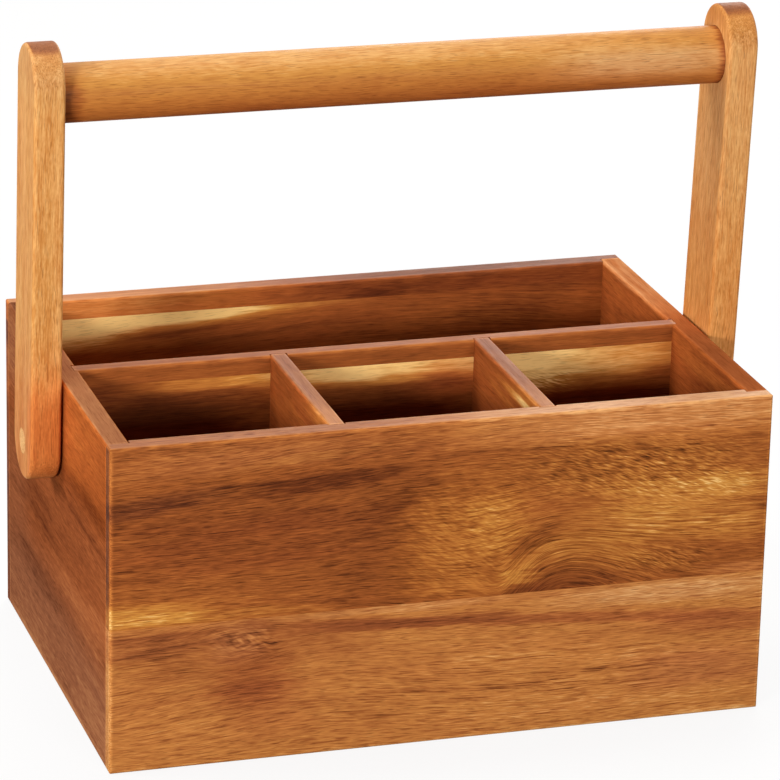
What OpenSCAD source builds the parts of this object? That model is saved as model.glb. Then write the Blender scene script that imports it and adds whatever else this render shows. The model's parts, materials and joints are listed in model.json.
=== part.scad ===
/* [Box] */
// Length of the box, left to right
box_length = 260; // [220:1:320]
// Depth of the box, front to back
box_depth = 179; // [150:1:220]
// Height of the box
box_height = 130; // [110:1:160]
// Thickness of the four walls
wall = 9; // [8:0.5:12]
// Radius of the eased edges on walls and dividers
edge_ease = 1.2; // [0.6:0.1:2]

/* [Walls] */
// Height of the front panel's lower stave
front_lower_height = 58; // [30:1:90]
// Height of the narrow stave along the back panel's rim
back_top_height = 8; // [5:1:15]
// Height of the back panel's lower stave
back_lower_height = 57; // [30:1:80]
// Thickness of the lap by which front and back cover the end panels' ends
corner_lap = 5.5; // [2:0.5:7]
// Gap left for glue where a board's end sits in a rebate, groove or housing
glue_gap = 0.2; // [0.1:0.05:0.4]

/* [Bottom] */
// Thickness of the bottom board
bottom_thickness = 6; // [4:0.5:8]
// Height of the bottom board's underside above the base
bottom_height = 5; // [3:0.5:10]
// Depth of the groove that holds the bottom board in each wall
groove_depth = 4; // [2:0.5:5]

/* [Dividers] */
// Thickness of the long divider and the two short ones
divider = 7; // [5:0.5:9]
// How far the long divider stands behind the middle of the box
divider_setback = 1; // [-8:0.5:8]
// Height of the narrow stave along the long divider's top
divider_top_height = 7; // [5:1:15]
// Height of the long divider's lower stave
divider_lower_height = 52; // [30:1:70]
// Depth of the housings that hold the dividers' ends
housing_depth = 2; // [1:0.5:3]

/* [Handle] */
// Width of an arm, front to back
arm_width = 30; // [24:0.5:36]
// Thickness of an arm
arm_thickness = 12; // [9:0.5:14]
// Gap between an arm and the end panel
arm_gap = 0.9; // [0.6:0.1:3]
// Distance from the pivot to the centre of an arm's round top
arm_reach = 145.5; // [120:0.5:180]
// Radius of the eased edges on the arms
arm_ease = 1.5; // [0.6:0.1:3]
// Diameter of the grip rod
rod_diameter = 22.5; // [16:0.5:24]
// Distance from the pivot to the rod's axis
rod_reach = 140.5; // [110:0.5:175]
// Depth of the blind sockets that hold the rod in the arms
rod_socket_depth = 6; // [4:0.5:8]
// Forward lean of the standing handle, in degrees
handle_lean = 3.8; // [0:0.1:10]

/* [Pivot] */
// Drop of the pivot below the rim
pivot_drop = 27.5; // [20:0.5:40]
// Diameter of the pivot pins
pin_diameter = 10; // [6:0.5:12]
// Wood left between a pivot bore and the long divider's housing
bore_web = 1; // [0.8:0.1:2]
// Outer diameter of the spacing washers on the pivot pins
washer_diameter = 18; // [15:0.5:24]

/* [Fits] */
// Radial running clearance of a pivot pin in its end panel
pin_clearance = 0.08; // [0.04:0.01:0.1]
// Radial glue clearance of a pin or the rod in an arm
socket_clearance = 0.05; // [0.02:0.01:0.1]
// Radial clearance of a washer on its pin
washer_clearance = 0.25; // [0.1:0.05:0.5]
// Running clearance between a washer and the end panel
washer_play = 0.15; // [0.1:0.05:0.3]

/* [Hidden] */
$fn = 64;

half_length = box_length / 2;
half_depth = box_depth / 2;
inner_half_length = half_length - wall;
inner_half_depth = half_depth - wall;

// Bottom board: its top, and how far its edges reach into the grooves
floor_height = bottom_height + bottom_thickness;
bottom_half_length = inner_half_length + groove_depth - glue_gap;
bottom_half_depth = inner_half_depth + groove_depth - glue_gap;
bottom_stave_count = 3;
bottom_stave_depth = 2 * bottom_half_depth / bottom_stave_count;

// Dividers: three equal cells in front of the long divider
divider_front = divider_setback - divider / 2;
divider_back = divider_setback + divider / 2;
cell_length = (2 * inner_half_length - 2 * divider) / 3;
short_divider_x = (cell_length + divider) / 2;

// Handle: places along X, and the pivot's height
arm_inner_x = half_length + arm_gap;
arm_outer_x = arm_inner_x + arm_thickness;
pivot_height = box_height - pivot_drop;
pivot_bore_depth = wall - housing_depth - bore_web;
rod_half_length = arm_inner_x + rod_socket_depth - glue_gap;

// Length by which a cutting shape runs past the face it cuts
overrun = 1;

front_color = [0.70, 0.41, 0.20];
back_color = [0.60, 0.34, 0.16];
end_color = [0.62, 0.34, 0.20];
bottom_color = [0.55, 0.31, 0.15];
divider_color = [0.66, 0.40, 0.22];
handle_color = [0.84, 0.57, 0.29];
pin_color = [0.90, 0.68, 0.40];
washer_color = [0.25, 0.22, 0.20];

// Solid block between two opposite corners
module block(low, high) {
    translate(low) cube(high - low);
}

// Rectangle from the origin with four round corners
module round_rectangle(size, radius) {
    translate([radius, 0]) square([size.x - 2 * radius, size.y]);
    translate([0, radius]) square([size.x, size.y - 2 * radius]);
    for (x = [radius, size.x - radius], y = [radius, size.y - radius])
        translate([x, y]) circle(r = radius);
}

// Rectangle from the origin with its two upper corners round
module eased_top(size, radius) {
    translate([radius, 0]) square([size.x - 2 * radius, size.y]);
    square([size.x, size.y - radius]);
    for (x = [radius, size.x - radius])
        translate([x, size.y - radius]) circle(r = radius);
}

// Section drawn in Y and Z, run along X
module along_x(low, high) {
    translate([low, 0, 0]) rotate([90, 0, 90]) linear_extrude(high - low) children();
}

// Section drawn in X and Z, run along Y
module along_y(low, high) {
    translate([0, high, 0]) rotate([90, 0, 0]) linear_extrude(high - low) children();
}

// The part of a board that lies between two heights
module stave(low, high) {
    intersection() {
        children();
        block([-box_length, -box_depth, low], [box_length, box_depth, high]);
    }
}

// Groove for the bottom board, cut into all four walls at once
module bottom_groove() {
    reach_x = inner_half_length + groove_depth;
    reach_y = inner_half_depth + groove_depth;
    block([-reach_x, -reach_y, bottom_height], [reach_x, reach_y, floor_height]);
}

// Front wall: eased board, rebated at both ends for the end panels
module front_wall() {
    difference() {
        intersection() {
            along_x(-half_length, half_length)
                translate([-half_depth, 0]) round_rectangle([wall, box_height], edge_ease);
            linear_extrude(box_height)
                translate([-half_length, -half_depth])
                    round_rectangle([box_length, box_depth], edge_ease);
            along_y(-half_depth, half_depth)
                translate([-half_length, 0]) round_rectangle([box_length, box_height], edge_ease);
        }
        for (side = [0, 1]) mirror([side, 0, 0])
            block([inner_half_length, corner_lap - half_depth, -overrun],
                  [half_length + overrun, overrun - inner_half_depth, box_height + overrun]);
        bottom_groove();
    }
}

// Front panel: the wall with housings for the short dividers
module front_panel() {
    difference() {
        front_wall();
        for (side = [-1, 1])
            translate([side * short_divider_x, 0, 0])
                block([-divider / 2, -inner_half_depth - housing_depth, floor_height],
                      [divider / 2, overrun - inner_half_depth, box_height + overrun]);
    }
}

// Back panel: the same wall turned round, with no housings
module back_panel() {
    mirror([0, 1, 0]) front_wall();
}

// Right end panel, with the long divider's housing and the pivot bore
module end_panel() {
    difference() {
        along_y(corner_lap - half_depth, half_depth - corner_lap)
            translate([inner_half_length, 0]) round_rectangle([wall, box_height], edge_ease);
        bottom_groove();
        block([inner_half_length - overrun, divider_front, floor_height],
              [inner_half_length + housing_depth, divider_back, box_height + overrun]);
        translate([half_length - pivot_bore_depth, 0, pivot_height])
            rotate([0, 90, 0])
                cylinder(d = pin_diameter + 2 * pin_clearance, h = pivot_bore_depth + overrun);
    }
}

// One stave of the bottom board, counted from the front
module bottom_stave(index) {
    front = index * bottom_stave_depth - bottom_half_depth;
    block([-bottom_half_length, front, bottom_height],
          [bottom_half_length, front + bottom_stave_depth, floor_height]);
}

// Long divider, housed in the end panels and housing the short dividers
module long_divider() {
    reach = inner_half_length + housing_depth - glue_gap;
    difference() {
        along_x(-reach, reach)
            translate([divider_front, floor_height])
                eased_top([divider, box_height - floor_height], edge_ease);
        for (side = [-1, 1])
            translate([side * short_divider_x, 0, 0])
                block([-divider / 2, divider_front - overrun, floor_height - overrun],
                      [divider / 2, divider_front + housing_depth, box_height + overrun]);
    }
}

// Short divider between the front panel and the long divider
module short_divider(side) {
    along_y(glue_gap - inner_half_depth - housing_depth, divider_front + housing_depth - glue_gap)
        translate([side * short_divider_x - divider / 2, floor_height])
            eased_top([divider, box_height - floor_height], edge_ease);
}

// Places a piece drawn about the pivot axis into the leaning handle
module on_pivot() {
    translate([0, 0, pivot_height]) rotate([handle_lean, 0, 0]) children();
}

// Half of a round arm end, above the pivot axis, from its inner face outwards
module arm_end() {
    radius = arm_width / 2;
    rotate([0, 90, 0]) rotate([0, 0, 90]) rotate_extrude(angle = 180) {
        square([radius - arm_ease, arm_thickness]);
        translate([0, arm_ease]) square([radius, arm_thickness - 2 * arm_ease]);
        for (y = [arm_ease, arm_thickness - arm_ease])
            translate([radius - arm_ease, y]) circle(r = arm_ease);
    }
}

// Right arm: eased bar with round ends, a pin bore and a blind rod socket
module arm() {
    difference() {
        translate([arm_inner_x, 0, 0]) {
            linear_extrude(arm_reach)
                translate([0, -arm_width / 2])
                    round_rectangle([arm_thickness, arm_width], arm_ease);
            translate([0, 0, arm_reach]) arm_end();
            mirror([0, 0, 1]) arm_end();
        }
        translate([half_length, 0, 0])
            rotate([0, 90, 0])
                cylinder(d = pin_diameter + 2 * socket_clearance, h = arm_outer_x - half_length + overrun);
        translate([half_length, 0, rod_reach])
            rotate([0, 90, 0])
                cylinder(d = rod_diameter + 2 * socket_clearance, h = arm_gap + rod_socket_depth);
    }
}

// Right pivot pin, flush with the arm's outer face
module pivot_pin() {
    inner_x = half_length - pivot_bore_depth + glue_gap;
    translate([inner_x, 0, 0]) rotate([0, 90, 0]) cylinder(d = pin_diameter, h = arm_outer_x - inner_x);
}

// Right spacing washer, against the arm's inner face
module washer() {
    thickness = arm_gap - washer_play;
    translate([arm_inner_x - thickness, 0, 0])
        rotate([0, 90, 0])
            difference() {
                cylinder(d = washer_diameter, h = thickness);
                translate([0, 0, -overrun])
                    cylinder(d = pin_diameter + 2 * washer_clearance, h = thickness + 2 * overrun);
            }
}

module front_upper_stave() {
    color(front_color) stave(front_lower_height, box_height) front_panel();
}

module front_lower_stave() {
    color(front_color) stave(0, front_lower_height) front_panel();
}

module back_top_stave() {
    color(back_color) stave(box_height - back_top_height, box_height) back_panel();
}

module back_middle_stave() {
    color(back_color) stave(back_lower_height, box_height - back_top_height) back_panel();
}

module back_lower_stave() {
    color(back_color) stave(0, back_lower_height) back_panel();
}

module left_end_panel() {
    color(end_color) mirror([1, 0, 0]) end_panel();
}

module right_end_panel() {
    color(end_color) end_panel();
}

module bottom_front_stave() {
    color(bottom_color) bottom_stave(0);
}

module bottom_middle_stave() {
    color(bottom_color) bottom_stave(1);
}

module bottom_rear_stave() {
    color(bottom_color) bottom_stave(2);
}

module long_divider_top_stave() {
    color(divider_color) stave(box_height - divider_top_height, box_height) long_divider();
}

module long_divider_middle_stave() {
    color(divider_color)
        stave(floor_height + divider_lower_height, box_height - divider_top_height) long_divider();
}

module long_divider_lower_stave() {
    color(divider_color) stave(floor_height, floor_height + divider_lower_height) long_divider();
}

module left_short_divider() {
    color(divider_color) short_divider(-1);
}

module right_short_divider() {
    color(divider_color) short_divider(1);
}

module left_arm() {
    color(handle_color) on_pivot() mirror([1, 0, 0]) arm();
}

module right_arm() {
    color(handle_color) on_pivot() arm();
}

module grip_rod() {
    color(handle_color)
        on_pivot()
            translate([-rod_half_length, 0, rod_reach])
                rotate([0, 90, 0]) cylinder(d = rod_diameter, h = 2 * rod_half_length);
}

module left_pivot_pin() {
    color(pin_color) on_pivot() mirror([1, 0, 0]) pivot_pin();
}

module right_pivot_pin() {
    color(pin_color) on_pivot() pivot_pin();
}

module left_washer() {
    color(washer_color) on_pivot() mirror([1, 0, 0]) washer();
}

module right_washer() {
    color(washer_color) on_pivot() washer();
}

front_upper_stave();
front_lower_stave();
back_top_stave();
back_middle_stave();
back_lower_stave();
left_end_panel();
right_end_panel();
bottom_front_stave();
bottom_middle_stave();
bottom_rear_stave();
long_divider_top_stave();
long_divider_middle_stave();
long_divider_lower_stave();
left_short_divider();
right_short_divider();
left_arm();
right_arm();
grip_rod();
left_pivot_pin();
right_pivot_pin();
left_washer();
right_washer();
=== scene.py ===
import json
import math
from collections import namedtuple

import bpy
from mathutils import Matrix, Vector


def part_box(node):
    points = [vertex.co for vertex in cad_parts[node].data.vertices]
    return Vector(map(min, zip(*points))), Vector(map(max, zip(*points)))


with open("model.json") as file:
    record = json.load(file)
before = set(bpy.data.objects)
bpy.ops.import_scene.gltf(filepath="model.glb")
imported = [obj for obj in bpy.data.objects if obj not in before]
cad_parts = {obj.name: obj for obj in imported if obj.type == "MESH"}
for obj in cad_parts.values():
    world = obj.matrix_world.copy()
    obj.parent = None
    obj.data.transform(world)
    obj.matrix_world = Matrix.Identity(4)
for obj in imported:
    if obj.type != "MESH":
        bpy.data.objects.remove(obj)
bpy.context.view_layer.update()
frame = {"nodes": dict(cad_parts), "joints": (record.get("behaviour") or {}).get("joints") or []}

MM = 0.001

# Camera of the photograph: angles in degrees, distances in metres, focal length in pixels of the photograph
PHOTO_SIZE = 780
FOCAL_PIXELS = 4434
CAMERA_TURN = -17.36
CAMERA_HEIGHT_ANGLE = 19.63
CAMERA_ROLL = 1.37
CAMERA_PLACE = (-0.48499, -1.56613, 0.69627)
SENSOR_WIDTH = 36
CLIP_END = 50

# Sizes of the carrier, taken from its pieces
front_low, front_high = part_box("front_lower_stave")[0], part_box("front_upper_stave")[1]
back_low, back_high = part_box("back_lower_stave")[0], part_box("back_top_stave")[1]
divider_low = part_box("long_divider_lower_stave")[0]
divider_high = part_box("long_divider_top_stave")[1]
rod_low, rod_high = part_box("grip_rod")
rod_axis = (rod_low + rod_high) / 2
swing = frame["joints"][0]
pivot = Vector(swing["pos_m"])
handle_lean = math.atan2(pivot.y - rod_axis.y, rod_axis.z - pivot.z)


def screen(red, green, blue):
    """A colour given as screen values from 0 to 255, as the linear colour that nodes take."""
    shares = [value / 255 for value in (red, green, blue)]
    linear = [s / 12.92 if s <= 0.04045 else ((s + 0.055) / 1.055) ** 2.4 for s in shares]
    return (*linear, 1.0)


class Wiring:
    """Short words for adding nodes to one node tree."""

    def __init__(self, tree):
        self.tree = tree

    def feed(self, socket, given):
        """Links a socket to the input, or sets its value."""
        if isinstance(given, bpy.types.NodeSocket):
            self.tree.links.new(given, socket)
        elif given is not None:
            socket.default_value = given

    def add(self, kind, *inputs, **settings):
        """Adds a node and fills the inputs that it shows, in order."""
        node = self.tree.nodes.new("ShaderNode" + kind)
        for name, setting in settings.items():
            setattr(node, name, setting)
        shown = [socket for socket in node.inputs if socket.enabled]
        for socket, given in zip(shown, inputs):
            self.feed(socket, given)
        return node

    def math(self, operation, *values, clamp=False):
        """Works out a number."""
        return self.add("Math", *values, operation=operation, use_clamp=clamp).outputs[0]

    def vector(self, operation, *values):
        """Works out a vector."""
        return self.add("VectorMath", *values, operation=operation).outputs[0]

    def share(self, start, change, mask):
        """Adds a change to a vector, as far as the mask is set."""
        part = self.add("VectorMath", change, operation="SCALE")
        self.feed(part.inputs["Scale"], mask)
        return self.vector("ADD", start, part.outputs[0])

    def split(self, vector):
        """The three parts of a vector."""
        return self.add("SeparateXYZ", vector).outputs

    def join(self, x, y, z):
        """A vector of three parts."""
        return self.add("CombineXYZ", x, y, z).outputs[0]

    def between(self, value, low, high, start=0.0, end=1.0):
        """Runs smoothly from start to end as value goes from low to high."""
        node = self.add("MapRange", value, low, high, start, end, interpolation_type="SMOOTHSTEP")
        return node.outputs[0]

    def sway(self, value, amount):
        """Noise of mean one half, as a swing of this amount about zero."""
        return self.math("MULTIPLY", self.math("SUBTRACT", value, 0.5), amount)

    def noise(self, grain, cell):
        """Noise in cells of the size that CELLS gives under this name."""
        along, across, detail = CELLS[cell]
        shrunk = self.vector("MULTIPLY", grain, (1 / along, 1 / across, 1 / across))
        return self.add("TexNoise", shrunk, 1.0, detail).outputs[0]

    def blend(self, factor, first, second, way="MIX"):
        """Blends two colours, as far as the factor says."""
        node = self.add("Mix", factor, first, second, data_type="RGBA", blend_type=way)
        return [socket for socket in node.outputs if socket.enabled][0]

    def ramp(self, value, stops):
        """Colour ramp of evenly spaced colours."""
        node = self.add("ValToRGB", value)
        spots = node.color_ramp.elements
        while len(spots) < len(stops):
            spots.new(0.5)
        for index, colour in enumerate(stops):
            spots[index].position = index / (len(stops) - 1)
            spots[index].color = colour
        return node.outputs[0]

    def use(self, group, **inputs):
        """Places a node group and fills its inputs by name, with _ for a space."""
        node = self.tree.nodes.new("ShaderNodeGroup")
        node.node_tree = group
        for name, given in inputs.items():
            self.feed(node.inputs[name.replace("_", " ")], given)
        return node.outputs


def new_group(name, inputs, outputs):
    """A node group with its wiring and sockets. A float as default makes a number input, else a vector."""
    tree = bpy.data.node_groups.new(name, "ShaderNodeTree")
    for label, default in inputs.items():
        kind = "NodeSocketFloat" if isinstance(default, float) else "NodeSocketVector"
        socket = tree.interface.new_socket(label, in_out="INPUT", socket_type=kind)
        socket.default_value = default
    for label, kind in outputs.items():
        tree.interface.new_socket(label, in_out="OUTPUT", socket_type="NodeSocket" + kind)
    source = tree.nodes.new("NodeGroupInput")
    sink = tree.nodes.new("NodeGroupOutput")
    return tree, Wiring(tree), source.outputs, sink.inputs


# Shared effects of the wood
# Cells of its figure: millimetres along and across the grain, and the layers of finer detail
CELLS = {
    "sway": (110, 34, 1),
    "ripple": (16, 5, 1),
    "fray_along": (12, 0.9, 2),
    "fray_across": (26, 2.2, 2),
    "band": (130, 9, 2),
    "streak": (42, 1.8, 2),
    "fibre": (6.5, 0.44, 2),
    "ring": (34, 0.8, 1),
    "fleck": (4.4, 0.62, 1),
    "mottle": (8, 4, 1),
    "hair": (12, 0.5, 1),
    "thread": (40, 0.7, 1),
    "hue": (60, 6, 2),
    "vessel": (6, 0.34, 1),
    "edge_wear_and_highlight": (9, 9, 2),
}
# The span that holds most values of a noise, and the limits within it that draw fine dark lines
NOISE_SPAN = (0.3, 0.7)
HAIR_LIMITS = (0.56, 0.68)
THREAD_LIMITS = (0.58, 0.68)
VESSEL_LIMITS = (0.58, 0.72)
# Shares of a mark's reach or width at which it has faded out, and is full
MARK_FADE = (1.0, 0.2)
# Millimetres by which fibres break up the edges of marks
FRAY_ALONG = 24.0
FRAY_ACROSS = 5.0
# Millimetres from an eased edge to where its wear and painted highlight are full, and the least of them
# along the edge
EDGE_CREST = 0.4
LEAST_WEAR_AND_HIGHLIGHT = 0.45


def soft_mark_group():
    """A long soft spot in the grain: its place, half length, half width, slope and bend."""
    inputs = {
        "Grain": (0, 0, 0), "Place": (0, 0, 0), "Reach": 10.0, "Width": 5.0, "Slope": 0.0, "Bend": 0.0,
    }
    tree, net, given, out = new_group("soft_mark", inputs, {"Mask": "Float"})
    along, across, _ = net.split(net.vector("SUBTRACT", given["Grain"], given["Place"]))
    bent = net.math("MULTIPLY_ADD", along, given["Bend"], given["Slope"])
    off_line = net.math("SUBTRACT", across, net.math("MULTIPLY", along, bent))
    far = net.math("DIVIDE", net.math("ABSOLUTE", along), given["Reach"])
    wide = net.math("DIVIDE", net.math("ABSOLUTE", off_line), given["Width"])
    mask = net.math("MULTIPLY", net.between(far, *MARK_FADE), net.between(wide, *MARK_FADE))
    net.feed(out["Mask"], mask)
    return tree


def bulge_group():
    """Grain that arches over a buried branch: lifted at Place, and settled beyond Reach and Width."""
    inputs = {
        "Grain": (0, 0, 0), "Place": (0, 0, 0), "Reach": 20.0, "Width": 20.0, "Lift": 0.0, "Spread": 0.0,
    }
    tree, net, given, out = new_group("grain_bulge", inputs, {"Grain": "Vector"})
    along, across, _ = net.split(net.vector("SUBTRACT", given["Grain"], given["Place"]))
    far = net.math("DIVIDE", along, given["Reach"])
    wide = net.math("DIVIDE", across, given["Width"])
    reach = net.math("MULTIPLY_ADD", far, far, net.math("MULTIPLY", wide, wide))
    fade = net.math("EXPONENT", net.math("MULTIPLY", reach, -1.0))
    push = net.math("MULTIPLY_ADD", across, given["Spread"], given["Lift"])
    drop = net.math("MULTIPLY", net.math("MULTIPLY", push, fade), -1.0)
    net.feed(out["Grain"], net.vector("ADD", given["Grain"], net.join(0.0, drop, 0.0)))
    return tree


def wander_group():
    """Grain lines that wander a little, and the shift along the fibres that frays the edges of marks."""
    inputs = {"Grain": (0, 0, 0), "Seed": (0, 0, 0), "Sway": 4.0, "Ripple": 1.0, "Fray": 1.0}
    tree, net, given, out = new_group("grain_wander", inputs, {"Lines": "Vector", "Frayed": "Vector"})
    seeded = net.vector("ADD", given["Grain"], given["Seed"])
    slow = net.sway(net.noise(seeded, "sway"), given["Sway"])
    ripple = net.sway(net.noise(seeded, "ripple"), given["Ripple"])
    shift = net.math("ADD", slow, ripple)
    most_along = net.math("MULTIPLY", given["Fray"], FRAY_ALONG)
    most_across = net.math("MULTIPLY", given["Fray"], FRAY_ACROSS)
    fray_along = net.sway(net.noise(seeded, "fray_along"), most_along)
    fray_across = net.sway(net.noise(seeded, "fray_across"), most_across)
    net.feed(out["Lines"], net.vector("ADD", given["Grain"], net.join(0.0, shift, shift)))
    net.feed(out["Frayed"], net.vector("ADD", given["Grain"], net.join(fray_along, fray_across, 0.0)))
    return tree


# Colours from dark to light, of the red heartwood, of the golden sapwood and of pale wood, which also
# stands in for painted sheen
RED_WOOD = (
    screen(54, 20, 8), screen(98, 44, 19), screen(146, 74, 34), screen(190, 100, 46),
    screen(226, 134, 66),
)
GOLD_WOOD = (
    screen(66, 34, 11), screen(120, 66, 23), screen(168, 99, 41), screen(206, 142, 64),
    screen(254, 211, 136),
)
PALE_AND_SHEEN_WOOD = (
    screen(60, 32, 22), screen(104, 60, 40), screen(150, 92, 62), screen(192, 132, 88),
    screen(222, 170, 124),
)
PORE_TINT = screen(128, 96, 84)
# Swings of tone and hue that every board shows, and how far the painted sheen on rims calms its figure
MOTTLE = 0.12
HUE_DRIFT = 0.4
SHEEN_CALM = 0.5
FLECK_SLANT = math.radians(18)
# Roughness of dull and of shiny streaks, what a pore adds to it, and how high fibres stand
SATIN = (0.56, 0.46)
PORE_ROUGHNESS = 0.2
FIBRE_HEIGHT = 0.5


def acacia_group():
    """Colour, roughness and surface height of oiled acacia. Lines and Seed are in millimetres."""
    inputs = {
        "Lines": (0, 0, 0), "Seed": (0, 0, 0), "Tone": 0.5, "Hue": 0.5, "Pale": 0.0, "Fleck": 0.0,
        "Rings": 0.0, "Bands": 0.20, "Streaks": 0.18, "Fibres": 0.62, "Hairs": 0.18, "Vessels": 0.45,
        "Threads": 0.0, "Sanded": 0.0, "End grain": 0.0, "End tone": -0.12,
    }
    outputs = {"Color": "Color", "Roughness": "Float", "Height": "Float"}
    tree, net, given, out = new_group("oiled_acacia", inputs, outputs)
    grain = net.vector("ADD", given["Lines"], given["Seed"])
    slanted = net.add("Mapping", grain, (0, 0, 0), (0, 0, FLECK_SLANT)).outputs[0]
    streak = net.noise(grain, "streak")
    fibre = net.noise(grain, "fibre")
    swings = {
        "Bands": net.noise(grain, "band"),
        "Streaks": streak,
        "Fibres": fibre,
        "Rings": net.noise(grain, "ring"),
        "Fleck": net.noise(slanted, "fleck"),
    }
    tone = net.math("ADD", given["Tone"], net.sway(net.noise(grain, "mottle"), MOTTLE))
    contrast = net.math("MULTIPLY_ADD", given["Sanded"], -SHEEN_CALM, 1.0)
    for name, value in swings.items():
        tone = net.math("ADD", tone, net.sway(value, net.math("MULTIPLY", given[name], contrast)))
    hair = net.between(net.noise(grain, "hair"), *HAIR_LIMITS)
    tone = net.math("SUBTRACT", tone, net.math("MULTIPLY", hair, given["Hairs"]))
    thread = net.between(net.noise(grain, "thread"), *THREAD_LIMITS)
    tone = net.math("SUBTRACT", tone, net.math("MULTIPLY", thread, given["Threads"]))
    tone = net.math("MULTIPLY_ADD", given["End grain"], given["End tone"], tone)
    hue = net.math("ADD", given["Hue"], net.sway(net.noise(grain, "hue"), HUE_DRIFT), clamp=True)
    colour = net.blend(hue, net.ramp(tone, RED_WOOD), net.ramp(tone, GOLD_WOOD))
    pale = net.math("MAXIMUM", given["Pale"], 0.0, clamp=True)
    colour = net.blend(pale, colour, net.ramp(tone, PALE_AND_SHEEN_WOOD))
    vessel = net.between(net.noise(grain, "vessel"), *VESSEL_LIMITS)
    pore = net.math("MULTIPLY", vessel, net.math("MULTIPLY", given["Vessels"], contrast), clamp=True)
    colour = net.blend(pore, colour, PORE_TINT, "MULTIPLY")
    net.feed(out["Color"], colour)
    satin = net.between(streak, *NOISE_SPAN, *SATIN)
    net.feed(out["Roughness"], net.math("MULTIPLY_ADD", pore, PORE_ROUGHNESS, satin))
    net.feed(out["Height"], net.math("SUBTRACT", net.sway(fibre, FIBRE_HEIGHT), pore))
    return tree


def eased_edge_group():
    """Mask along the eased edges of a square board, for wear and a painted highlight, a little uneven along
    the edge.
    """
    inputs = {"Place": (0, 0, 0), "Centre": (0, 0, 0), "Half": (1, 1, 1), "Width": 2.0}
    tree, net, given, out = new_group("eased_edge", inputs, {"Mask": "Float"})
    outward = net.vector("ABSOLUTE", net.vector("SUBTRACT", given["Place"], given["Centre"]))
    inward = net.vector("SUBTRACT", given["Half"], outward)
    x, y, z = net.split(inward)
    least = net.math("MINIMUM", net.math("MINIMUM", x, y), z)
    most = net.math("MAXIMUM", net.math("MAXIMUM", x, y), z)
    total = net.math("ADD", net.math("ADD", x, y), z)
    middle = net.math("SUBTRACT", net.math("SUBTRACT", total, least), most)
    uneven = net.between(net.noise(given["Place"], "edge_wear_and_highlight"), *NOISE_SPAN, LEAST_WEAR_AND_HIGHLIGHT, 1.0)
    mask = net.math("MULTIPLY", net.between(middle, given["Width"], EDGE_CREST), uneven)
    net.feed(out["Mask"], mask)
    return tree


SOFT_MARK = soft_mark_group()
BULGE = bulge_group()
WANDER = wander_group()
ACACIA = acacia_group()
EASED_EDGE = eased_edge_group()

# Boards: how the grain runs, and what the wood shows
# Tone goes from dark 0 to light 1, hue from red 0 to gold 1 and pale from none 0 to full pale 1, which in
# places is a painted sheen
# Places, reaches, widths and lifts are in millimetres, along and across the grain
Mark = namedtuple(
    "Mark", "along across reach width slope bend tone hue pale fleck rings threads",
    defaults=(0, 0, 0, 0, 0, 0, 0, 0),
)
Bulge = namedtuple("Bulge", "along across reach width lift spread", defaults=(0, 0))
# Rim: tone and pale added to up-facing tops, a painted sheen of the bright backdrop on the rims
Rim = namedtuple("Rim", "tone pale")
Board = namedtuple(
    "Board", "run tone hue pale marks bulges rim gloss fray values",
    defaults=((), (), None, 0.06, 1.0, {}),
)

# Directions of the grain, of the board's width and of its thickness
RUNS = {
    "along_x": Matrix(((1, 0, 0), (0, 0, 1), (0, -1, 0))),
    "along_y": Matrix(((0, 1, 0), (0, 0, 1), (1, 0, 0))),
    "floor": Matrix(((1, 0, 0), (0, 1, 0), (0, 0, 1))),
    "arm": Matrix((
        (0, -math.sin(handle_lean), math.cos(handle_lean)),
        (0, math.cos(handle_lean), math.sin(handle_lean)),
        (-1, 0, 0),
    )),
}
# How much lighter eased edges turn: partly wear, partly a painted highlight where the edges catch the light
EDGE_WEAR_AND_HIGHLIGHT = 0.18
# Millimetres from one board's wood to the next, so that no two boards show the same figure
SEED_STEP = Vector((311.0, 97.0, 53.0))
# How far a surface faces up to take the painted sheen of a rim, or along the grain to be end grain, from
# none to full
RIM_FACING = (0.7, 0.97)
END_FACING = (0.82, 0.97)
GRAIN_BUMP = 0.35
PORE_DEPTH = 0.12 * MM


def boxed(low, high):
    """Centre and half size of a box, in millimetres."""
    return (low + high) / 2 / MM, (high - low) / 2 / MM


def figured(net, grain, board):
    """Tone, hue and fleck, then pale, rings and threads, of a board with its marks."""
    figure = net.join(board.tone, board.hue, 0.0)
    shades = net.join(board.pale, 0.0, 0.0)
    for mark in board.marks:
        mask = net.use(
            SOFT_MARK, Grain=grain, Place=(mark.along, mark.across, 0), Reach=mark.reach,
            Width=mark.width, Slope=mark.slope, Bend=mark.bend,
        )["Mask"]
        figure = net.share(figure, (mark.tone, mark.hue, mark.fleck), mask)
        if mark.pale or mark.rings or mark.threads:
            shades = net.share(shades, (mark.pale, mark.rings, mark.threads), mask)
    return (*net.split(figure), *net.split(shades))


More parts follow.
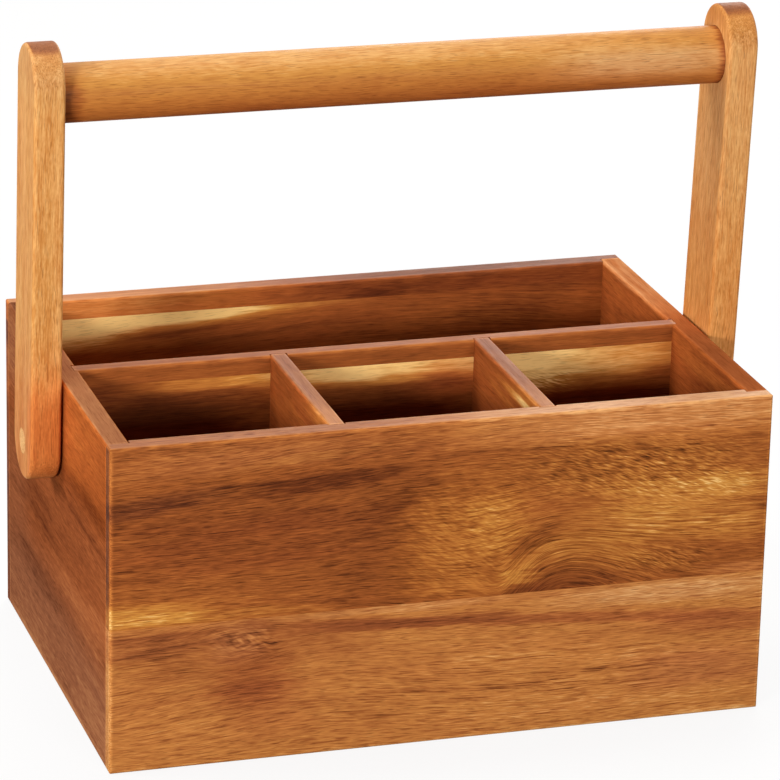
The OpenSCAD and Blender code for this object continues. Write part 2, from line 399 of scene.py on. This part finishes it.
def wood_material(name, board, seed, edges):
    """Oiled acacia for one board, with wear and a painted highlight along the edges of the box that is
    given.
    """
    material = bpy.data.materials.new(name)
    material.use_nodes = True
    net = Wiring(material.node_tree)
    shader = material.node_tree.nodes["Principled BSDF"]
    run = RUNS[board.run]
    coordinates = net.add("TexCoord").outputs
    place = net.vector("SCALE", coordinates["Object"], None)
    place.node.inputs["Scale"].default_value = 1 / MM
    grain = net.add("Mapping", place, (0, 0, 0), run.to_euler()).outputs[0]
    offset = SEED_STEP * seed
    wander = net.use(WANDER, Grain=grain, Seed=offset, Fray=board.fray)
    lines = wander["Lines"]
    for bulge in board.bulges:
        lines = net.use(
            BULGE, Grain=lines, Place=(bulge.along, bulge.across, 0), Reach=bulge.reach,
            Width=bulge.width, Lift=bulge.lift, Spread=bulge.spread,
        )["Grain"]
    tone, hue, fleck, pale, rings, threads = figured(net, wander["Frayed"], board)
    if edges:
        centre, half = boxed(*edges)
        worn_and_lit = net.use(EASED_EDGE, Place=place, Centre=centre, Half=half)["Mask"]
        # Eased edges lighter: partly wear, partly a painted highlight
        tone = net.math("MULTIPLY_ADD", worn_and_lit, EDGE_WEAR_AND_HIGHLIGHT, tone)
    upward = 0.0
    # Painted sheen: up-facing rims shift in tone, turn paler and have their figure calmed, as a glint of
    # the bright backdrop would show on them
    if board.rim:
        upward = net.between(net.split(coordinates["Normal"])[2], *RIM_FACING)
        tone = net.math("MULTIPLY_ADD", upward, board.rim.tone, tone)
        pale = net.math("MULTIPLY_ADD", upward, board.rim.pale, pale)
    turned = net.add("VectorMath", coordinates["Normal"], tuple(run[0]), operation="DOT_PRODUCT")
    facing = net.math("ABSOLUTE", turned.outputs["Value"])
    end_grain = net.between(facing, *END_FACING)
    wood = net.use(
        ACACIA, Lines=lines, Seed=offset, Tone=tone, Hue=hue, Pale=pale, Fleck=fleck, Rings=rings,
        Threads=threads, Sanded=upward, End_grain=end_grain, **board.values,
    )
    bump = net.add("Bump")
    bump.inputs["Strength"].default_value = GRAIN_BUMP
    bump.inputs["Distance"].default_value = PORE_DEPTH
    net.feed(bump.inputs["Height"], wood["Height"])
    net.feed(shader.inputs["Base Color"], wood["Color"])
    net.feed(shader.inputs["Roughness"], wood["Roughness"])
    net.feed(shader.inputs["Normal"], bump.outputs[0])
    shader.inputs["Specular IOR Level"].default_value = board.gloss
    return material


FRONT_UPPER_MARKS = (
    Mark(-80, 90, 85, 22, tone=-0.06, hue=-0.22),
    Mark(-75, 123, 75, 9, 0.02, tone=0.08, hue=-0.05, pale=0.18),
    Mark(80, 127, 120, 14, tone=0.40, hue=0.05, pale=0.30, threads=0.10),
    Mark(-50, 120.5, 44, 2.6, 0.075, tone=0.06, hue=0.25),
    Mark(30, 116.2, 60, 1.1, tone=-0.09),
    Mark(-118, 106, 44, 5.5, 0.12, tone=-0.16, hue=-0.20, pale=0.15),
    Mark(-82, 110.6, 34, 2.0, 0.06, tone=-0.09),
    Mark(-48, 110.3, 46, 5.5, 0.05, tone=-0.25, hue=-0.20),
    Mark(-16, 102, 18, 9, 0.6, tone=-0.13, hue=-0.10),
    Mark(-25, 80, 22, 32, 0.1, tone=-0.07, hue=-0.05),
    Mark(6, 82, 36, 34, tone=0.08, hue=0.28, pale=-0.10, fleck=0.50),
    Mark(20, 88, 16, 18, tone=0.06, hue=0.18, fleck=0.25),
    Mark(75, 106, 66, 15, -0.02, tone=0.05, hue=0.40, fleck=1.10),
    Mark(70, 110.5, 40, 6, tone=-0.05, hue=-0.10),
    Mark(51, 62, 27, 11, tone=-0.11, hue=-0.20, rings=0.10),
    Mark(45, 66, 18, 10, tone=-0.03, hue=-0.05),
    Mark(31, 59, 13, 3.2, tone=-0.14, hue=-0.20),
    Mark(54, 74, 42, 18, tone=0.07, hue=0.40, rings=0.75),
    Mark(36, 79, 13, 6, 0.47, tone=-0.20, hue=-0.15),
    Mark(29, 65, 10, 5, 0.4, tone=0.10, hue=0.40),
    Mark(87, 67, 26, 8, -0.05, hue=0.20, fleck=1.0),
    Mark(95, 93, 58, 11, 0.02, tone=0.20, hue=0.42, fleck=0.40),
    Mark(114, 96, 26, 6, tone=0.10, hue=0.15),
    Mark(129, 86, 8, 6, tone=-0.14),
    Mark(102, 80, 46, 10, -0.06, tone=0.08, hue=0.36, rings=0.75),
    Mark(120, 60, 22, 4, tone=0.16, pale=0.20),
    Mark(-127, 62.5, 46, 7.5, tone=0.26, hue=0.65, pale=-0.15),
    Mark(-85, 60.5, 54, 3.4, tone=0.10, hue=0.30),
    Mark(-127, 77, 20, 2, tone=-0.12),
    Mark(38, 125, 24, 8, tone=-0.12),
    Mark(34, 92, 20, 9, tone=0.08),
    Mark(100, 80, 50, 15, tone=0.06),
    Mark(100, 117, 36, 4, tone=0.08),
    Mark(8, 62, 20, 6, tone=0.09),
    Mark(-86, 66, 18, 6, tone=0.05),
    Mark(-124, 121, 22, 11, tone=0.07),
    Mark(48, 109, 22, 5, tone=-0.06),
    Mark(96, 127, 38, 6, tone=-0.07),
    Mark(122, 73, 20, 8, tone=0.06),
)
FRONT_UPPER_BULGES = (
    Bulge(10, 112, 95, 24, 8),
    Bulge(45, 58, 20, 22, 12),
    Bulge(66, 58, 30, 22, 9),
    Bulge(24, 58, 10, 14, -8),
    Bulge(6, 62, 18, 30, -3),
)

FRONT_LOWER_MARKS = (
    Mark(-113, 51, 38, 8, tone=-0.12, hue=-0.25, pale=0.05),
    Mark(-112, 54, 36, 2.0, 0.02, tone=-0.10, hue=-0.10),
    Mark(-108, 48.5, 30, 1.8, 0.13, tone=-0.14, hue=-0.10),
    Mark(-110, 45.5, 26, 1.2, 0.10, tone=-0.08),
    Mark(-80, 49, 16, 11, tone=0.00, hue=-0.10, pale=0.20, fleck=0.45),
    Mark(-81.5, 50, 3.2, 2.2, tone=-0.26),
    Mark(-84.5, 52.5, 2.4, 1.2, tone=-0.14),
    Mark(-70, 47, 9, 6, -0.4, tone=-0.08, fleck=0.8),
    Mark(-76, 34, 22, 17, tone=-0.09, hue=-0.40, pale=-0.05),
    Mark(-68, 20, 26, 18, tone=-0.04, hue=-0.20),
    Mark(35, 47, 125, 3.4, -0.068, tone=-0.12, hue=-0.40),
    Mark(-2, 50, 38, 3.4, -0.045, tone=-0.14, hue=-0.10),
    Mark(-40, 51.5, 30, 3, tone=-0.08, hue=-0.15),
    Mark(112, 38.5, 40, 7, -0.05, tone=-0.08, hue=-0.30),
    Mark(88, 53, 65, 6.5, -0.01, tone=0.10, hue=0.20, pale=0.35),
    Mark(-20, 56.5, 65, 2.2, tone=0.06, pale=0.20),
    Mark(30, 22, 110, 18, -0.03, threads=0.32),
    Mark(104, 20, 40, 12, tone=-0.04, hue=-0.25, pale=0.10),
    Mark(112, 1.5, 28, 3, tone=0.12),
    Mark(-20, 13, 13, 1.0, -0.02, tone=-0.18),
    Mark(16, 3, 7, 0.9, tone=-0.18),
    Mark(-15, 22, 32, 0.9, -0.05, tone=-0.14),
    Mark(-52, 47, 36, 14, tone=-0.10, hue=-0.12),
    Mark(-106, 40, 22, 8, tone=-0.09, hue=-0.10),
    Mark(-76, 21, 26, 7, tone=-0.04),
    Mark(88, 41.5, 26, 4, tone=0.08),
    Mark(86, 25, 30, 6, tone=0.05),
    Mark(30, 34, 40, 6, tone=0.05),
    Mark(45, 10, 80, 8, tone=0.05),
    Mark(60, 20, 110, 26, tone=0.03),
    Mark(-96, 40, 45, 28, tone=-0.04),
    Mark(-72, 55, 11, 4, -0.3, tone=-0.12, hue=-0.10),
    Mark(118, 55, 26, 5, tone=0.06),
)
FRONT_LOWER_BULGES = (Bulge(-81.7, 50, 20, 9, 0, 0.8), Bulge(-55, 28, 60, 22, 7))

LEFT_END_MARKS = (
    Mark(-40, 122, 84, 34, tone=0.20),
    Mark(-24, 110, 30, 18, tone=0.07),
    Mark(-40, 122, 140, 44, pale=-0.50),
    Mark(-60, 95.5, 48, 6, -0.02, tone=-0.12),
    Mark(80, 116, 34, 28, tone=0.07, pale=0.60),
    Mark(75, 60, 40, 30, pale=0.30),
    Mark(-75, 88, 34, 4, tone=0.05),
    Mark(-45, 84.2, 72, 2.2, tone=-0.09),
    Mark(-80, 72, 34, 16, tone=0.06),
    Mark(34, 64, 38, 14, tone=-0.11),
    Mark(8, 58, 30, 5, tone=-0.07),
    Mark(70, 57, 26, 4, tone=-0.06),
    Mark(-48, 50.5, 80, 8, tone=0.13, pale=0.10),
    Mark(-80, 56, 34, 3.5, tone=0.10, pale=0.10),
    Mark(-55, 42, 30, 5, tone=0.05),
    Mark(36, 35, 76, 10, tone=-0.11),
    Mark(-78, 34, 30, 10, tone=0.04),
    # Painted reflection: the lower part of the left end made pale, as the white floor would show in its
    # sheen
    Mark(0, 8, 240, 48, pale=0.85),
    Mark(0, 13, 120, 9, tone=0.03),
    Mark(-74, 13, 50, 10, tone=0.10),
    Mark(45, 5, 60, 6, tone=0.07),
    Mark(-60, 5, 60, 5, tone=0.05),
    # Painted highlight: the eased bottom edge of the left end made lighter, as if lit from the floor below
    Mark(0, 1.0, 120, 3.4, tone=0.20),
    Mark(75, 131, 70, 3, tone=-0.20),
)

BACK_TOP_MARKS = (
    Mark(-95, 126, 105, 16, tone=0.35, hue=0.09),
    Mark(-90, 131, 120, 3.5, tone=-0.16),
    Mark(60, 126, 90, 14, tone=-0.12),
    Mark(25, 124, 18, 3, tone=-0.12),
    Mark(108, 126, 26, 8, tone=-0.03),
    Mark(80, 131, 110, 3.5, tone=-0.10, pale=0.15),
)
BACK_MIDDLE_MARKS = (
    Mark(-134, 119.5, 17, 9.5, tone=-0.82, hue=-0.80),
    Mark(-98, 121, 84, 9, 0.03, tone=0.92, hue=0.74, pale=0.05),
    Mark(-104, 112.8, 36, 7, 0.08, tone=0.42, hue=0.42),
    Mark(-52, 121.5, 46, 5, 0.02, tone=0.40, hue=0.50),
    Mark(-8, 121.5, 40, 3, tone=0.10, hue=0.42, pale=0.10),
    Mark(-30, 118.5, 44, 4.5, 0.03, tone=0.03, hue=0.38),
    Mark(-58, 113.2, 62, 1.5, 0.10, tone=-0.09, hue=-0.10),
    Mark(-30, 110, 46, 1.6, 0.09, tone=-0.10),
    Mark(-78, 109, 36, 5, 0.08, tone=0.10, hue=0.10),
    Mark(-95, 98, 70, 13, tone=0.26, hue=0.16),
    Mark(75, 110, 90, 24, tone=-0.12, hue=0.10, rings=0.30, threads=0.10),
    Mark(44, 112, 30, 10, tone=0.09),
    Mark(114, 111, 24, 12, tone=0.12),
)
BACK_MIDDLE_BULGES = (Bulge(20, 105, 110, 40, 12),)

DIVIDER_MIDDLE_MARKS = (
    Mark(8, 122, 86, 10.5, -0.01, tone=0.56, hue=0.80, pale=0.08),
    Mark(-18, 121, 24, 7, tone=0.16),
    Mark(33, 118.5, 24, 11, tone=-0.24, hue=-0.70),
    Mark(28, 111, 18, 5, tone=0.14),
    Mark(-12, 113, 26, 5, tone=0.05, hue=0.20),
    Mark(88, 120.5, 84, 13, tone=0.53, hue=0.76, pale=0.08),
    Mark(112, 118, 42, 14, tone=-0.06, hue=-0.26),
    Mark(80, 110, 50, 8, tone=0.26, hue=0.38),
    Mark(66, 109, 18, 7, tone=0.12, hue=0.25, pale=0.10, fleck=1.1),
    Mark(-66, 122, 48, 6.5, tone=0.30, hue=0.42),
    Mark(-85, 111, 45, 11, tone=-0.12, hue=0.05),
)
SHORT_DIVIDER_MARKS = (
    Mark(-78, 129, 34, 7, tone=0.07, hue=0.42, pale=-0.30),
    Mark(-8, 130, 22, 6, tone=-0.08),
    Mark(-50, 118, 40, 3, 0.1, tone=0.06, hue=0.15),
)
RIGHT_DIVIDER_MARKS = (
    *SHORT_DIVIDER_MARKS,
    Mark(-84, 124.8, 62, 2.6, tone=0.42, hue=0.90),
    # Painted shade: the right divider's face darker towards the bottom of its cell
    Mark(-30, 95, 90, 20, tone=-0.14),
)
RIGHT_END_MARKS = (
    Mark(-48, 122, 55, 6, tone=0.08, hue=0.20),
    Mark(-58, 114, 50, 26, tone=-0.15),
    Mark(68, 131.5, 78, 3.5, tone=0.14, hue=0.08, pale=0.50),
)
ROD_MARKS = (
    Mark(0, 243, 400, 40, fleck=0.06),
    # Painted shade: the underside of the rod darker and redder
    Mark(0, 231, 240, 16, tone=-0.06, hue=-0.60),
    # Painted highlight: the top of the rod lighter, yellower and paler, where light from above falls on it
    Mark(-30, 254, 220, 10, tone=0.15, hue=0.32, pale=0.30),
    Mark(100, 244, 60, 9, tone=0.19, pale=0.55),
    # Painted shadow: the left arm's shadow, darkening the rod beside it
    Mark(-133, 238, 12, 22, tone=-0.36, hue=-0.20),
    # Painted shade: a dark ring on the rod where it meets the right arm
    Mark(132, 243, 4.5, 40, tone=-0.30, hue=-0.20),
)
LEFT_ARM_MARKS = (
    Mark(60, 0, 400, 80, fleck=0.16),
    # Painted reflected light: the lower end of the left arm warmer and more orange, as if lit by the orange
    # end panel beside it
    Mark(104, 0, 52, 40, tone=-0.02, hue=-0.35, pale=-0.10),
    Mark(106, -8, 48, 9, tone=0.08, hue=-0.30, pale=-0.15),
    Mark(258, 0, 22, 60, tone=-0.04, hue=0.38, pale=0.32),
)
RIGHT_ARM_MARKS = (
    Mark(60, 0, 400, 80, fleck=0.14),
    Mark(228, 0, 70, 60, tone=0.02, hue=0.18, pale=0.24),
    Mark(262, 0, 13, 60, tone=-0.12, hue=0.10),
)

CALM_VALUES = {"Bands": 0.16, "Streaks": 0.22, "Fibres": 0.28, "Hairs": 0.08, "Vessels": 0.30}
ARM_VALUES = {
    "Bands": 0.22, "Streaks": 0.16, "Fibres": 0.34, "Hairs": 0.08, "Vessels": 0.38, "End tone": -0.36,
}
RIGHT_ARM_VALUES = {**ARM_VALUES, "Bands": 0.12, "Streaks": 0.14}
ROD_VALUES = {"Bands": 0.08, "Streaks": 0.03, "Fibres": 0.22, "Hairs": 0.08, "Vessels": 0.42}
LEFT_END_VALUES = {"Bands": 0.12, "Streaks": 0.20, "Fibres": 0.38, "Hairs": 0.10, "Vessels": 0.30}
FRONT_LOWER_VALUES = {"Bands": 0.10, "Fibres": 0.56, "End tone": 0.13}
FRONT_UPPER_VALUES = {"End tone": -0.17}
HANDLE_GLOSS = 0.10
PIVOT_PIN = Board("along_x", 0.95, 0.70, 0.35, values={"End tone": 0.0})

BOARDS = {
    "front_upper_stave": Board(
        "along_x", 0.47, 0.41, 0.04, FRONT_UPPER_MARKS, FRONT_UPPER_BULGES, Rim(0.10, 0.70),
        values=FRONT_UPPER_VALUES,
    ),
    "front_lower_stave": Board(
        "along_x", 0.66, 0.61, 0.22, FRONT_LOWER_MARKS, FRONT_LOWER_BULGES, values=FRONT_LOWER_VALUES,
    ),
    "back_top_stave": Board(
        "along_x", 0.46, 0.08, 0, BACK_TOP_MARKS, rim=Rim(0.05, 0.85), values=CALM_VALUES,
    ),
    "back_middle_stave": Board(
        "along_x", 0.48, 0.15, 0, BACK_MIDDLE_MARKS, BACK_MIDDLE_BULGES, fray=0.5,
        values=CALM_VALUES,
    ),
    "back_lower_stave": Board("along_x", 0.42, 0.20, 0),
    # The left end's base pale is a painted reflection of the white floor, in place of gloss
    "left_end_panel": Board(
        "along_y", 0.48, 0, 0.28, LEFT_END_MARKS, rim=Rim(-0.05, 1.6), gloss=0, fray=0.6,
        values=LEFT_END_VALUES,
    ),
    "right_end_panel": Board(
        "along_y", 0.58, 0.0, 0, RIGHT_END_MARKS, rim=Rim(0.05, 0.22), gloss=0, values=CALM_VALUES,
    ),
    "bottom_front_stave": Board("floor", 0.44, 0.30, 0.10),
    "bottom_middle_stave": Board("floor", 0.48, 0.40, 0.10),
    "bottom_rear_stave": Board("floor", 0.42, 0.25, 0.10),
    "long_divider_top_stave": Board("along_x", 0.47, 0.35, 0.04, rim=Rim(0.06, 0.65), values=CALM_VALUES),
    "long_divider_middle_stave": Board("along_x", 0.35, 0.20, 0, DIVIDER_MIDDLE_MARKS, values=CALM_VALUES),
    "long_divider_lower_stave": Board("along_x", 0.36, 0.15, 0),
    "left_short_divider": Board(
        "along_y", 0.60, 0.02, 0, SHORT_DIVIDER_MARKS, rim=Rim(0.0, 0.85), values=CALM_VALUES,
    ),
    "right_short_divider": Board(
        "along_y", 0.56, 0.06, 0, RIGHT_DIVIDER_MARKS, rim=Rim(0.0, 0.85), fray=0.3,
        values=CALM_VALUES,
    ),
    "left_arm": Board("arm", 0.83, 0.70, 0.17, LEFT_ARM_MARKS, gloss=HANDLE_GLOSS, values=ARM_VALUES),
    "right_arm": Board(
        "arm", 0.845, 0.46, 0.02, RIGHT_ARM_MARKS, gloss=HANDLE_GLOSS, values=RIGHT_ARM_VALUES,
    ),
    "grip_rod": Board(
        "along_x", 0.66, 0.84, 0, ROD_MARKS, gloss=HANDLE_GLOSS, fray=0.3, values=ROD_VALUES,
    ),
    "left_pivot_pin": PIVOT_PIN,
    "right_pivot_pin": PIVOT_PIN,
}

PANEL_EDGES = {
    "front": (front_low, front_high),
    "back": (back_low, back_high),
    "long": (divider_low, divider_high),
    "left_end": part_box("left_end_panel"),
    "right_end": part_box("right_end_panel"),
    "left_short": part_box("left_short_divider"),
    "right_short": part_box("right_short_divider"),
}


def edges_of(node):
    """The box of the panel that a stave is glued into, whose edges are eased."""
    found = [box for start, box in PANEL_EDGES.items() if node.startswith(start)]
    return found[0] if found else None


NYLON_DARK = screen(44, 40, 38)
NYLON_LIGHT = screen(66, 60, 56)
NYLON_GRAINS_PER_METRE = 9000
NYLON_ROUGHNESS = (0.5, 0.7)


def nylon_material():
    """Dark nylon of the spacing washers, matt with fine moulding grain."""
    material = bpy.data.materials.new("washer_nylon_finish")
    material.use_nodes = True
    net = Wiring(material.node_tree)
    shader = material.node_tree.nodes["Principled BSDF"]
    place = net.add("TexCoord").outputs["Object"]
    fine = net.add("TexNoise", place, NYLON_GRAINS_PER_METRE).outputs[0]
    net.feed(shader.inputs["Base Color"], net.blend(fine, NYLON_DARK, NYLON_LIGHT))
    net.feed(shader.inputs["Roughness"], net.between(fine, *NOISE_SPAN, *NYLON_ROUGHNESS))
    return material


def finish_pieces():
    """Gives every piece its own finish."""
    for seed, (node, board) in enumerate(BOARDS.items(), start=1):
        material = wood_material(node + "_finish", board, seed, edges_of(node))
        frame["nodes"][node].material_slots[0].material = material
    nylon = nylon_material()
    for node in ("left_washer", "right_washer"):
        frame["nodes"][node].material_slots[0].material = nylon


# Studio: camera, lamps, floor and backdrop
WHITE = (1, 1, 1, 1)


def direction(turn, climb):
    """The way from the carrier to a camera or lamp: degrees round from the front and up."""
    turn, climb = math.radians(turn), math.radians(climb)
    return Vector((math.sin(turn) * math.cos(climb), -math.cos(turn) * math.cos(climb), math.sin(climb)))


def photo_camera():
    """The camera at the place from which the photograph was taken."""
    turn, roll = math.radians(CAMERA_TURN), math.radians(CAMERA_ROLL)
    back = direction(CAMERA_TURN, CAMERA_HEIGHT_ANGLE)
    right = Vector((math.cos(turn), math.sin(turn), 0))
    up = back.cross(right)
    rolled_right = right * math.cos(roll) + up * math.sin(roll)
    rolled_up = up * math.cos(roll) - right * math.sin(roll)
    data = bpy.data.cameras.new("photo_camera")
    data.sensor_width = SENSOR_WIDTH
    data.lens = FOCAL_PIXELS * SENSOR_WIDTH / PHOTO_SIZE
    data.clip_end = CLIP_END
    camera = bpy.data.objects.new("photo_camera", data)
    camera.matrix_world = Matrix((rolled_right, rolled_up, back)).transposed().to_4x4()
    camera.location = CAMERA_PLACE
    bpy.context.scene.collection.objects.link(camera)
    bpy.context.scene.camera = camera


# Lamps: where they stand round the middle of the carrier, in degrees and metres, and how they light it
Lamp = namedtuple("Lamp", "turn climb distance width height share colour")
AIM = Vector((0, 0, 0.11))
WARM_LIGHT = screen(255, 252, 246)
FILL_LIGHT = screen(255, 252, 248)
PLAIN_LIGHT = screen(255, 253, 250)
LAMPS = {
    "front_left_softbox": Lamp(-46, 13, 1.7, 0.34, 0.26, 0.62, WARM_LIGHT),
    "front_softbox": Lamp(5, 13.5, 1.9, 0.9, 0.28, 0.48, WARM_LIGHT),
    "left_softbox": Lamp(-98, 30, 1.6, 0.7, 0.5, 0.50, PLAIN_LIGHT),
    "overhead_softbox": Lamp(170, 70, 1.5, 1.0, 0.8, 0.65, PLAIN_LIGHT),
    "back_fill": Lamp(150, 20, 2.0, 1.0, 0.6, 0.30, FILL_LIGHT),
    "right_fill": Lamp(100, 25, 2.0, 1.0, 0.8, 0.30, FILL_LIGHT),
}


def soft_lamp(name, lamp):
    """A soft box aimed at the carrier. Share 1 lights a white card that faces it to white."""
    back = direction(lamp.turn, lamp.climb)
    data = bpy.data.lights.new(name, "AREA")
    data.shape = "RECTANGLE"
    data.size, data.size_y = lamp.width, lamp.height
    data.energy = lamp.share * (math.pi * lamp.distance) ** 2
    data.color = lamp.colour[:3]
    lamp_object = bpy.data.objects.new(name, data)
    lamp_object.location = AIM + back * lamp.distance
    lamp_object.rotation_euler = back.to_track_quat("Z", "Y").to_euler()
    bpy.context.scene.collection.objects.link(lamp_object)


AMBIENT = 0.04
FLOOR_SIZE = 12
# How strongly the floor shows the carrier's shadow, and how much of its white the satin wood mirrors
FLOOR_SHADOW = 0.12
FLOOR_IN_GLOSS = 0.12
FLOOR_GREY = (0.22, 0.22, 0.22, 1)
FLOOR_WHITE = (0.9, 0.9, 0.9, 1)


def background_rays(net, gloss):
    """1 for rays that show the background itself, and the share gloss for those that satin wood mirrors."""
    path = net.add("LightPath").outputs
    straight = net.math("MAXIMUM", path["Is Camera Ray"], path["Is Transmission Ray"])
    return net.math("MAXIMUM", straight, net.math("MULTIPLY", path["Is Glossy Ray"], gloss))


def white_world():
    """Dim fill light for the carrier, and plain white where the background is seen."""
    world = bpy.data.worlds.new("studio")
    bpy.context.scene.world = world
    world.use_nodes = True
    net = Wiring(world.node_tree)
    nodes = world.node_tree.nodes
    fill = nodes["Background"]
    fill.inputs["Color"].default_value = WHITE
    fill.inputs["Strength"].default_value = AMBIENT
    white = net.add("Background", WHITE, 1.0)
    mixed = net.add("MixShader", background_rays(net, 1.0), fill.outputs[0], white.outputs[0])
    net.feed(nodes["World Output"].inputs["Surface"], mixed.outputs[0])


def white_floor():
    """A floor seen as white with a faint shadow of the carrier, which throws little light up at it."""
    bpy.ops.mesh.primitive_plane_add(size=FLOOR_SIZE)
    floor = bpy.context.object
    floor.name = "studio_floor"
    material = bpy.data.materials.new("studio_floor_white")
    material.use_nodes = True
    net = Wiring(material.node_tree)
    nodes = material.node_tree.nodes
    nodes.remove(nodes["Principled BSDF"])
    shown = background_rays(net, FLOOR_IN_GLOSS)
    paper = net.add("BsdfDiffuse", net.blend(shown, FLOOR_GREY, FLOOR_WHITE))
    white = net.add("Emission", WHITE, 1.0)
    glow = net.math("MULTIPLY", shown, 1 - FLOOR_SHADOW)
    mixed = net.add("MixShader", glow, paper.outputs[0], white.outputs[0])
    net.feed(nodes["Material Output"].inputs["Surface"], mixed.outputs[0])
    floor.data.materials.append(material)


photo_camera()
for lamp_name, lamp_values in LAMPS.items():
    soft_lamp(lamp_name, lamp_values)
white_world()
white_floor()
finish_pieces()
bpy.context.scene.view_settings.view_transform = "Standard"
